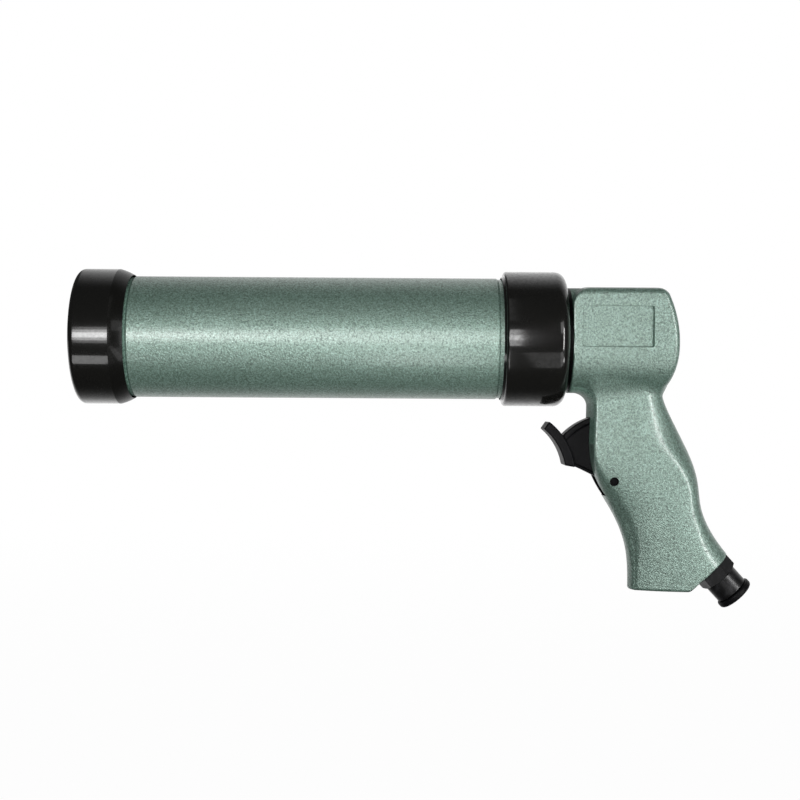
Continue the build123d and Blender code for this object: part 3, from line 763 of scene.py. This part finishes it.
def carve(mesh, tools, operation="DIFFERENCE"):
    """Cuts tools out of a mesh, or joins them to it, one after another."""
    bodies = []
    for shape in (mesh, *tools):
        bodies.append(bpy.data.objects.new("workpiece", shape))
        bpy.context.scene.collection.objects.link(bodies[-1])
    for tool in bodies[1:]:
        step = bodies[0].modifiers.new("cut", "BOOLEAN")
        step.operation = operation
        step.solver = "EXACT"
        step.object = tool
    ready = bodies[0].evaluated_get(bpy.context.evaluated_depsgraph_get())
    made = bpy.data.meshes.new_from_object(ready)
    for body in bodies:
        bpy.data.objects.remove(body)
    return made


def arc(centre, radius, first, last, count):
    """Points on an arc, between two angles in degrees."""
    angles = [radians(first + (last - first) * step / count) for step in range(count + 1)]
    return [(centre[0] + radius * cos(angle), centre[1] + radius * sin(angle)) for angle in angles]


def rounded_box(centre, size, corner):
    """Outline of a rectangle with round corners."""
    half = (size[0] / 2 - corner, size[1] / 2 - corner)
    quarters = ((1, 1, 0), (-1, 1, 90), (-1, -1, 180), (1, -1, 270))
    points = []
    for across, up, angle in quarters:
        middle = (centre[0] + across * half[0], centre[1] + up * half[1])
        points += arc(middle, corner, angle, angle + 90, CORNER_STEPS)
    return points


def drill(name, radius, length, origin, direction):
    """A round cutter that starts at a place and runs along a direction."""
    profile = [(0, 0), (0, radius), (length, radius), (length, 0)]
    return lathe(name, profile, CUT_SIDES, origin, direction)


head_place = (HEAD_FRONT, 0, 0)
skin_points, skin_quads = cast(handle_shape, *CAST_BOX, CAST_STEP)
handle = smoothed(solid_mesh("handle", skin_points, skin_quads, head_place), SKIN_SHARP)
pivot_place = (HEAD_FRONT + PIVOT[0], 0, PIVOT[1])
pin_start = (pivot_place[0], -2 * GRIP_HALF, PIVOT[1])
slot_outline = [
    *arc((0, 0), SLOT_RADII[0], *SLOT_ARCS[0]),
    (-SLOT_REACH, -SLOT_RADII[1]),
    *arc((0, 0), SLOT_RADII[1], *SLOT_ARCS[1]),
]
label_outline = rounded_box(LABEL[:2], LABEL[2:], LABEL_CORNER)
label_flare = 2 * LABEL_DEPTH * np.array(LABEL_DRAFT)
label_floor = HEAD_HALF - LABEL_DEPTH
inlet_way = (cos(SEAT_SLOPE), 0, -sin(SEAT_SLOPE))
inlet_place = (HEAD_FRONT + SEAT[0], 0, SEAT[1])
port_place = (HEAD_FRONT + PORT_PLACE, 0, VALVE_HEIGHT)
supply_start = Vector(inlet_place) - Vector(inlet_way) * INLET_HOLE[1]
supply_run = Vector((HEAD_FRONT + SUPPLY_END, 0, VALVE_HEIGHT)) - supply_start
valve_profile = [
    (VALVE_SPAN[0], 0),
    (VALVE_SPAN[0], VALVE_BORE),
    (CLIP_GROOVE[0], VALVE_BORE),
    (CLIP_GROOVE[0], CLIP_GROOVE[2]),
    (CLIP_GROOVE[1], CLIP_GROOVE[2]),
    (CLIP_GROOVE[1], VALVE_BORE),
    (VALVE_SPAN[1], VALVE_BORE),
    (VALVE_SPAN[1], 0),
]
air_profile = [
    (FLANGE[0] - CUT_PAST, 0),
    (FLANGE[0] - CUT_PAST, SCREW_HOLE[0]),
    (SCREW_HOLE[1], SCREW_HOLE[0]),
    (SCREW_HOLE[1], PASSAGE_RADIUS),
    (PORT_PLACE, PASSAGE_RADIUS),
    (PORT_PLACE, 0),
]
cross_profile = [
    (0, 0),
    (0, PASSAGE_RADIUS),
    (PLUG_HOLE[1] - VALVE_HEIGHT, PASSAGE_RADIUS),
    (PLUG_HOLE[1] - VALVE_HEIGHT, PLUG_HOLE[0]),
    (HEAD_CROWN + CUT_PAST - VALVE_HEIGHT, PLUG_HOLE[0]),
    (HEAD_CROWN + CUT_PAST - VALVE_HEIGHT, 0),
]
handle = carve(
    handle,
    [
        *[
            slab(
                "label",
                label_outline,
                way * label_floor,
                way * (label_floor + 2 * LABEL_DEPTH),
                head_place,
                label_flare,
                LABEL_TILT,
            )
            for way in (-1, 1)
        ],
        slab("slot", slot_outline, -SLOT_HALF, SLOT_HALF, pivot_place),
        drill("pin_hole", PIN_RADIUS, 4 * GRIP_HALF, pin_start, (0, 1, 0)),
        lathe("valve_bore", valve_profile, CUT_SIDES, (HEAD_FRONT, 0, VALVE_HEIGHT)),
        lathe("air_way", air_profile, CUT_SIDES, head_place),
        lathe("cross_way", cross_profile, CUT_SIDES, port_place, (0, 0, 1)),
        drill("inlet_hole", INLET_HOLE[0], INLET_HOLE[1] + 3 * CUT_PAST, supply_start, inlet_way),
        drill("supply_way", SUPPLY_RADIUS, supply_run.length, supply_start, supply_run.normalized()),
    ],
)
handle = smoothed(handle, CUT_SHARP)
bare_top = VALVE_HEIGHT + SLOT_RADII[0] / 2
for face in handle.polygons:
    x, y, z = np.array(face.center) / MM - head_place
    # Painted shade: cut faces low in the grip and the neck in the gap behind the collar get a near-black
    # finish.
    bare = x < BARE_FRONT or z < bare_top and handle_shape(x, y, z) < -BARE_DEPTH
    # Painted shade: the neck ring and the faces that look forward under the collar take the darker,
    # duller enamel.
    on_neck = x < HEAD_CORNER and abs(hypot(y, z) - NECK_RADIUS) < WALL_ERROR
    forward = face.normal.dot(FORWARD) > FORWARD_LIMITS[0] and abs(face.normal.y) < FORWARD_LIMITS[1]
    painted_shade_face = forward and x < PAINTED_SHADE_REACH[0] and z > PAINTED_SHADE_REACH[1]
    face.material_index = 1 if bare else 2 * (on_neck or painted_shade_face)
enamel_on_casting = hammer_enamel("hammer_enamel_on_casting", depth=0.97)
# A near-black oxide finish for those cuts, which is painted shade.
cut_in_painted_shade = blackened_steel("cut_in_painted_shade", gloss=0.1)
true_shading(handle, handle_shape, head_place)
handle_finishes = (enamel_on_casting, cut_in_painted_shade, enamel_in_painted_shade)
fit("handle_painted", handle, "tool", "handle_casting", "hammer_casting", *handle_finishes)

# A set screw with a hexagon socket closes the drilled air way on top of the head.
# It is zinc-plated steel and sits in the wider end of that drilling.
refinish(bright_steel, "passage_plug")

# The trigger is moulded in black nylon: a wide finger blade on a ribbed web, whose hub turns on a
# steel pin across the grip. The web fills the slot and its back pushes the valve stem.
BLADE_FRONT = [(-31.2, 23.3), (-24.9, 15.9), (-21.6, 6.9)]
BLADE_BACK = [(-28.8, 26.7), (-20.2, 16.6), (-17.0, 6.1)]
BLADE_HALF = 8.5
BLADE_EDGE = 0.9
BLADE_END = 0.5
BLADE_ROOT = 1.5
THROAT = [(-16.6, 6.3), (-10.6, 3.5), (-4.8, 0.5)]
WEB_RADIUS = 30.2
WEB_HALF = 5.7
WEB_PANEL = 0.8
PANEL_MARGINS = (2.3, 1.6, 0.9)
PANEL_STEP = 0.5
WEB_EDGE = 0.7
WEB_FILLET = 0.8
HUB_RADIUS = 5.2
HUB_STEP = 0.8
PUSH_FACE = (-2.4, 21.5)
WEB_HEEL = (-4.46, 29.87)
PIN_SLIP = 2.05
TRIGGER_BOX = ((-33.2, -9.4, -7.6), (7.6, 9.4, 31.6))
TRIGGER_STEP = 0.4
TRIGGER_SHARP = 45


def through(first, second, third):
    """Centre and radius of the circle through three points."""
    ends = np.array([second, third], float) - np.array(first, float)
    offset = np.linalg.solve(2 * ends, (ends**2).sum(1))
    return np.array(first) + offset, hypot(*offset)


def beyond(x, z, start, end):
    """Distance to the right-hand side of a straight edge."""
    run, rise = end[0] - start[0], end[1] - start[1]
    return ((x - start[0]) * rise - (z - start[1]) * run) / hypot(run, rise)


def circle(x, z, centre, radius):
    """Distance to a circle in the side view."""
    return np.hypot(x - centre[0], z - centre[1]) - radius


finger_arc = through(*BLADE_FRONT)
rear_arc = through(*BLADE_BACK)
throat_arc = through(*THROAT)


def trigger_shape(x, y, z):
    """Distance to the skin of the trigger, in millimetres from its pivot."""
    side = np.abs(y)
    finger = -circle(x, z, *finger_arc)
    rear = circle(x, z, *rear_arc)
    tip = beyond(x, z, BLADE_BACK[0], BLADE_FRONT[0])
    base = beyond(x, z, BLADE_FRONT[2], BLADE_BACK[2])
    blade = both(both(np.maximum(finger, rear), tip, BLADE_END), base, BLADE_END)
    blade = both(blade, side - BLADE_HALF, BLADE_EDGE)

    top = circle(x, z, (0, 0), WEB_RADIUS)
    push = np.maximum(beyond(x, z, PUSH_FACE, WEB_HEEL), x - PUSH_FACE[0])
    throat = -circle(x, z, *throat_arc)
    low = np.where(x < THROAT[2][0], throat, -z)
    outline = np.maximum(np.maximum(top, push), np.maximum(low, -rear - BLADE_ROOT))
    margins = [reach + margin for reach, margin in zip((top, push, low), PANEL_MARGINS)]
    panel = np.maximum(margins[0], np.maximum(margins[1], margins[2]))
    off_hub = ease(np.hypot(x, z), HUB_RADIUS, HUB_RADIUS + HUB_STEP)
    sunk = WEB_HALF - WEB_PANEL * ease(-panel, 0.0, PANEL_STEP) * off_hub
    web = both(outline, side - sunk, WEB_EDGE)
    hub = both(np.hypot(x, z) - HUB_RADIUS, side - WEB_HALF, WEB_EDGE)
    return either(blade, np.minimum(web, hub), WEB_FILLET)


def satin_nylon(name):
    """Black glass-filled nylon with the fine spark texture of its mould."""
    material, place = new_finish(name)
    rub = grain(place, 6.0, 4.0, 0.6)
    lay(
        place,
        Base_Color=tint(rub, (0.0024, 0.0024, 0.0028), (0.0044, 0.0044, 0.0052)),
        Roughness=0.36 + 0.14 * rub,
        Specular_IOR_Level=0.075,
        Normal=relief(grain(place, 0.3, 2.0), 0.02),
    )
    return material


nylon = satin_nylon("satin_nylon")
trigger_points, trigger_quads = cast(trigger_shape, *TRIGGER_BOX, TRIGGER_STEP)
trigger = solid_mesh("trigger", trigger_points, trigger_quads, pivot_place)
bore_start = (pivot_place[0], -2 * WEB_HALF, PIVOT[1])
pin_bore = drill("pin_bore", PIN_SLIP, 4 * WEB_HALF, bore_start, (0, 1, 0))
trigger = smoothed(carve(smoothed(trigger, SKIN_SHARP), [pin_bore]), TRIGGER_SHARP)
fit("trigger_moulded", trigger, "trigger", "trigger", "black_nylon", nylon)
# The pin gets a darker oxide as painted shade, since it sits deep in its hole.
refinish(blackened_steel("black_oxide_pin_painted_shade", gloss=0.1), "trigger_pin")

# The trigger valve sits in a bore behind the slot. A brass bushing with two rubber rings is held by a
# spring clip; a brass stem with a rubber face closes it, and a coil spring behind returns the stem.
SPRING_SPAN = (261.5, 267.9)
SPRING_RADIUS = 3.2
SPRING_WIRE = 0.3
SPRING_TURNS = 3.0
SPRING_SIDES = 12
SPRING_STEPS = 108
SPRING_SHARP = 50


def turned_brass(name):
    """Turned brass, warm and slightly dulled, with fine tool lines."""
    material, place = new_finish(name)
    dull = grain(place, 2.5, 4.0, 0.6)
    lay(
        place,
        Base_Color=tint(dull, (0.62, 0.45, 0.20), (0.76, 0.60, 0.33)),
        Metallic=0.95,
        Roughness=0.22 + 0.18 * dull,
        Normal=relief(grain(place, 0.25, 2.0), 0.008),
    )
    return material


brass = turned_brass("turned_brass")
refinish(brass, "valve_bushing", "valve_stem")
refinish(rubber, "bushing_o_rings", "stem_o_ring", "valve_washer")
refinish(bright_steel, "valve_clip")
spring_points = []
for step in range(SPRING_STEPS + 1):
    share = step / SPRING_STEPS
    turn = tau * SPRING_TURNS * share
    along = SPRING_SPAN[0] + SPRING_WIRE + (SPRING_SPAN[1] - SPRING_SPAN[0] - 2 * SPRING_WIRE) * share
    for side in range(SPRING_SIDES):
        angle = tau * side / SPRING_SIDES
        radius = SPRING_RADIUS + SPRING_WIRE * cos(angle)
        spring_points.append(
            (along + SPRING_WIRE * sin(angle), radius * cos(turn), VALVE_HEIGHT + radius * sin(turn))
        )
spring_faces = [list(range(SPRING_SIDES)), list(range(SPRING_STEPS * SPRING_SIDES, len(spring_points)))]
for step in range(SPRING_STEPS):
    for side in range(SPRING_SIDES):
        beside = (side + 1) % SPRING_SIDES
        here, there = step * SPRING_SIDES, (step + 1) * SPRING_SIDES
        spring_faces.append((here + side, here + beside, there + beside, there + side))
spring = smoothed(solid_mesh("spring", spring_points, spring_faces), SPRING_SHARP)
spring_piece = fit("valve_spring_wire", spring, "tool", "valve_spring", "steel", bright_steel)
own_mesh(spring_piece)

# The air inlet is a blackened steel fitting: a shank sealed in the casting by a rubber ring, a hexagon
# for the spanner and a round nose, threaded inside. A brass thimble in it strains the air.
# A moulded plug with a thick flange keeps dust out.
HEX_WIDTH = 16.0
HEX_LENGTH = 7.0
HEX_TURN = 45.0
HEX_CHAMFER = (1.3, 2.1)
HEX_BASE = (0.4, 0.35)
HEX_BEVEL = 0.18
HEX_SHARP = 20
BEVEL_LIMIT = radians(28)
INLET_SIDES = 128
NOSE_RADIUS = 7.7
NOSE_END = 14.8
NOSE_ROOT = 1.0
NOSE_ROUND = 0.5
MOUTH = (6.4, 11.6)
SOCKET = (5.72, 4.1)
SOCKET_PITCH = 1.34
SOCKET_THREAD = 0.45
SOCKET_RINGS = 40
SOCKET_SIDES = 96
STRAINER_SEAT = (5.22, 3.3)
INLET_BORE = 3.6
SHANK = (6.5, -12.0)
SHANK_ROUND = 0.6
FITTING_SHARP = 25
RING_GROOVE = (-3.15, -1.05, 4.7)
DUST_FLANGE = (8.65, 14.9, 18.0)
DUST_SHANK = (6.35, 11.9)
DUST_WALL = 1.0
DUST_ROUNDS = (1.2, 0.9, 0.4)

corner_radius = HEX_WIDTH / sqrt(3)
hex_outline = arc((0, 0), corner_radius, HEX_TURN, HEX_TURN + 300, 5)
hex_points = [(0, y, z) for y, z in hex_outline] + [(HEX_LENGTH, y, z) for y, z in hex_outline]
hex_faces = [list(range(6)), list(range(6, 12))]
hex_faces += [(i, (i + 1) % 6, 6 + (i + 1) % 6, 6 + i) for i in range(6)]
aim_inlet = np.array(Vector((1, 0, 0)).rotation_difference(Vector(inlet_way)).to_matrix())
hex_points = np.array(hex_points) @ aim_inlet.T
hexagon = smoothed(solid_mesh("hexagon", hex_points, hex_faces, inlet_place), HEX_SHARP)
dome_profile = [
    (-CUT_PAST, 0),
    (-CUT_PAST, corner_radius),
    (0, corner_radius - HEX_BASE[1]),
    (HEX_BASE[0], corner_radius),
    (HEX_LENGTH - HEX_CHAMFER[0], corner_radius),
    (HEX_LENGTH, corner_radius - HEX_CHAMFER[1]),
    (HEX_LENGTH, 0),
]
dome = lathe("dome", dome_profile, INLET_SIDES, inlet_place, inlet_way)
body_profile = turned(
    [
        (SHANK[1], 0),
        (SHANK[1], SHANK[0], SHANK_ROUND),
        (RING_GROOVE[0], SHANK[0]),
        (RING_GROOVE[0], RING_GROOVE[2]),
        (RING_GROOVE[1], RING_GROOVE[2]),
        (RING_GROOVE[1], SHANK[0]),
        (NOSE_ROOT, SHANK[0]),
        (NOSE_ROOT, NOSE_RADIUS),
        (NOSE_END, NOSE_RADIUS, NOSE_ROUND),
        (NOSE_END, 0),
    ]
)
socket_profile = [
    (SHANK[1] - CUT_PAST, 0),
    (SHANK[1] - CUT_PAST, INLET_BORE),
    (STRAINER_SEAT[1], INLET_BORE),
    (STRAINER_SEAT[1], STRAINER_SEAT[0]),
    (SOCKET[1], STRAINER_SEAT[0]),
    (SOCKET[1], SOCKET[0]),
    *[(along, SOCKET[0]) for along in steps(SOCKET[1], MOUTH[1], SOCKET_RINGS)],
    (MOUTH[1], SOCKET[0]),
    (MOUTH[1], MOUTH[0]),
    (NOSE_END + CUT_PAST, MOUTH[0]),
    (NOSE_END + CUT_PAST, 0),
]
socket_thread = thread((SOCKET[1], MOUTH[1]), SOCKET_PITCH, -SOCKET_THREAD, SOCKET[0])
socket_cutter = lathe("socket", socket_profile, SOCKET_SIDES, inlet_place, inlet_way, socket_thread)
fitting = carve(hexagon, [dome], "INTERSECT")
shank = lathe("fitting", body_profile, INLET_SIDES, inlet_place, inlet_way)
fitting = carve(fitting, [shank], "UNION")
fitting = smoothed(carve(fitting, [socket_cutter]), FITTING_SHARP)
black_steel = blackened_steel("black_oxide_steel", gloss=1.0)
fitting_piece = fit("inlet_fitting", fitting, "tool", "inlet_bushing", "black_steel", black_steel)
fitting_bevel = fitting_piece.modifiers.new("broken_edges", "BEVEL")
fitting_bevel.width = HEX_BEVEL * MM
fitting_bevel.segments = 2
fitting_bevel.angle_limit = BEVEL_LIMIT
fitting_piece.modifiers.new("even_shading", "WEIGHTED_NORMAL").keep_sharp = True
refinish(rubber, "inlet_o_ring")
refinish(brass, "inlet_strainer")

plug_profile = turned(
    [
        (DUST_FLANGE[2], 0),
        (DUST_FLANGE[2], DUST_FLANGE[0], DUST_ROUNDS[0]),
        (DUST_FLANGE[1], DUST_FLANGE[0], DUST_ROUNDS[1]),
        (DUST_FLANGE[1], DUST_SHANK[0]),
        (DUST_SHANK[1], DUST_SHANK[0], DUST_ROUNDS[2]),
        (DUST_SHANK[1], DUST_SHANK[0] - DUST_WALL),
        (DUST_FLANGE[1], DUST_SHANK[0] - DUST_WALL),
        (DUST_FLANGE[1], 0),
    ],
    parts=8,
)
dust_plug = lathe("plug", plug_profile, INLET_SIDES, inlet_place, inlet_way)
fit("dust_plug_moulded", dust_plug, "dust_plug", "dust_plug", "black_nylon", nylon)

# The tool is shown in the air over a white floor, in front of nothing but white. A soft box in front,
# built up in layers that are brighter toward its middle, lights it. A narrow box on the right streaks
# the grip, and dim cards above and below give the barrel and the black rings their sheen.
KEY_PLACE = (-0.85, -0.004)
KEY_GAP = 0.004
KEY_LAYERS = [
    (-0.27, 0.243, 0.40, 1.45),
    (-0.27, 0.06, 0.26, 1.61),
    (0.06, 0.243, 0.40, 0.97),
    (-0.27, -0.03, 0.12, 0.85),
    (0.20, 0.243, 0.12, 0.12),
]
CARDS = {
    "side_box": ((0.82, -0.62, -0.02), (0.27, 0.0, -0.05), (0.10, 0.48), 3.8),
    "fill_card": ((0.66, -0.80, 0.27), (0.22, 0.0, 0.0), (0.50, 0.30), 1.0),
    "top_card": ((0.09, -0.45, 0.50), (0.09, 0.0, 0.0), (0.26, 0.50), 0.16),
    "low_strip": ((-0.128, -0.31, -0.262), (-0.128, -0.31, 0.0), (0.145, 0.15), 0.23),
    "low_card": ((0.287, -0.40, -0.262), (0.287, -0.40, 0.0), (0.10, 0.36), 0.085),
    "low_panel": ((0.48, -0.40, -0.262), (0.48, -0.40, 0.0), (0.28, 0.36), 0.57),
    "low_middle": ((0.08, -0.49, -0.262), (0.08, -0.49, 0.0), (0.24, 0.54), 0.28),
    "low_right": ((0.158, -0.225, -0.12), (0.158, -0.225, 0.0), (0.06, 0.25), 0.125),
    "low_side": ((0.574, -0.24, -0.255), (0.216, -0.03, -0.01), (0.09, 0.08), 0.2),
}
FLOOR_HEIGHT = -0.27
FLOOR_HALF = 6.0
FLOOR_GREY = (0.3, 0.3, 0.3, 1)
FLOOR_MIRRORED = (0.04, 0.0, 0.4)
FLOOR_SHOWN = (0.98, 0.2, 2.0)
AMBIENT = 0.06
BACKDROP_REAR = (-0.05, 0.68)
BACKDROP_SIDE = (-0.38, -0.12)


def stage_light(name, place, aim, size, power):
    """A soft box that points at a place."""
    lamp = bpy.data.lights.new(name, "AREA")
    lamp.shape = "RECTANGLE"
    lamp.size, lamp.size_y = size
    lamp.energy = power
    holder = bpy.data.objects.new(name, lamp)
    holder.matrix_world = Matrix.Translation(place) @ (
        (Vector(aim) - Vector(place)).to_track_quat("-Z", "Y").to_matrix().to_4x4()
    )
    holder.visible_camera = False
    bpy.context.scene.collection.objects.link(holder)


for layer, (start, end, height, power) in enumerate(KEY_LAYERS):
    middle = (start + end) / 2
    box_place = (middle, KEY_PLACE[0] + KEY_GAP * layer, KEY_PLACE[1])
    stage_light("soft_box", box_place, (middle, 0.0, KEY_PLACE[1]), (end - start, height), power)
for name, card in CARDS.items():
    stage_light(name, *card)

floor_mesh = bpy.data.meshes.new("floor")
floor_mesh.from_pydata(
    [(x * FLOOR_HALF, y * FLOOR_HALF, FLOOR_HEIGHT) for x, y in ((-1, -1), (1, -1), (1, 1), (-1, 1))],
    [],
    [(0, 1, 2, 3)],
)
floor = bpy.data.objects.new("floor", floor_mesh)
bpy.context.scene.collection.objects.link(floor)
floor_white, ground = new_finish("white_floor")
seen = ground.node("ShaderNodeLightPath", output="Is Camera Ray")
mirrored = ground.node("ShaderNodeLightPath", output="Is Glossy Ray")
depth = ground.node("ShaderNodeSeparateXYZ", inputs={"Vector": ground}, output="Y")
matte = ground.node("ShaderNodeBsdfDiffuse", inputs={"Color": FLOOR_GREY})
far_white = FLOOR_MIRRORED[0] + (1 - FLOOR_MIRRORED[0]) * edge(depth, *FLOOR_MIRRORED[1:])
glow = ground.node("ShaderNodeEmission", inputs={"Strength": seen + mirrored * far_white})
plain_white = FLOOR_SHOWN[0] + (1 - FLOOR_SHOWN[0]) * edge(depth, *FLOOR_SHOWN[1:])
white_share = seen * plain_white + mirrored
floor_mix = ground.node("ShaderNodeMixShader", inputs={0: white_share, 1: matte, 2: glow})
ground.node("ShaderNodeOutputMaterial", inputs={"Surface": floor_mix})
floor_mesh.materials.append(floor_white)

surround = bpy.data.worlds.new("white_surround")
surround.use_nodes = True
surround.node_tree.nodes.clear()
sky = Shade(surround.node_tree).node("ShaderNodeTexCoord", output="Generated")
seen = sky.node("ShaderNodeLightPath", output="Is Camera Ray")
rearward = sky.node("ShaderNodeSeparateXYZ", inputs={"Vector": sky}, output="Y")
sideward = sky.node("ShaderNodeSeparateXYZ", inputs={"Vector": sky}, output="X")
backdrop = edge(rearward, *BACKDROP_REAR) * edge(sideward, *BACKDROP_SIDE)
level = seen + (1 - seen) * (AMBIENT + (1 - AMBIENT) * backdrop)
glow = sky.node("ShaderNodeBackground", inputs={"Color": (1, 1, 1, 1), "Strength": level})
sky.node("ShaderNodeOutputWorld", inputs={"Surface": glow})
bpy.context.scene.world = surround
bpy.context.scene.view_settings.view_transform = "Standard"

# The camera looks square at the side of the tool, from a little below the barrel and slightly rolled.
CAMERA_PLACE = (0.1453, -0.612, -0.02815)
CAMERA_ROLL = 0.00671
CAMERA_LENS = 60.25
CAMERA_FILM = 36.0

camera_data = bpy.data.cameras.new("camera")
camera_data.lens = CAMERA_LENS
camera_data.sensor_width = CAMERA_FILM
camera = bpy.data.objects.new("camera", camera_data)
upright = Matrix.Translation(CAMERA_PLACE) @ Matrix.Rotation(pi / 2, 4, "X")
camera.matrix_world = upright @ Matrix.Rotation(CAMERA_ROLL, 4, "Z")
bpy.context.scene.collection.objects.link(camera)
bpy.context.scene.camera = camera
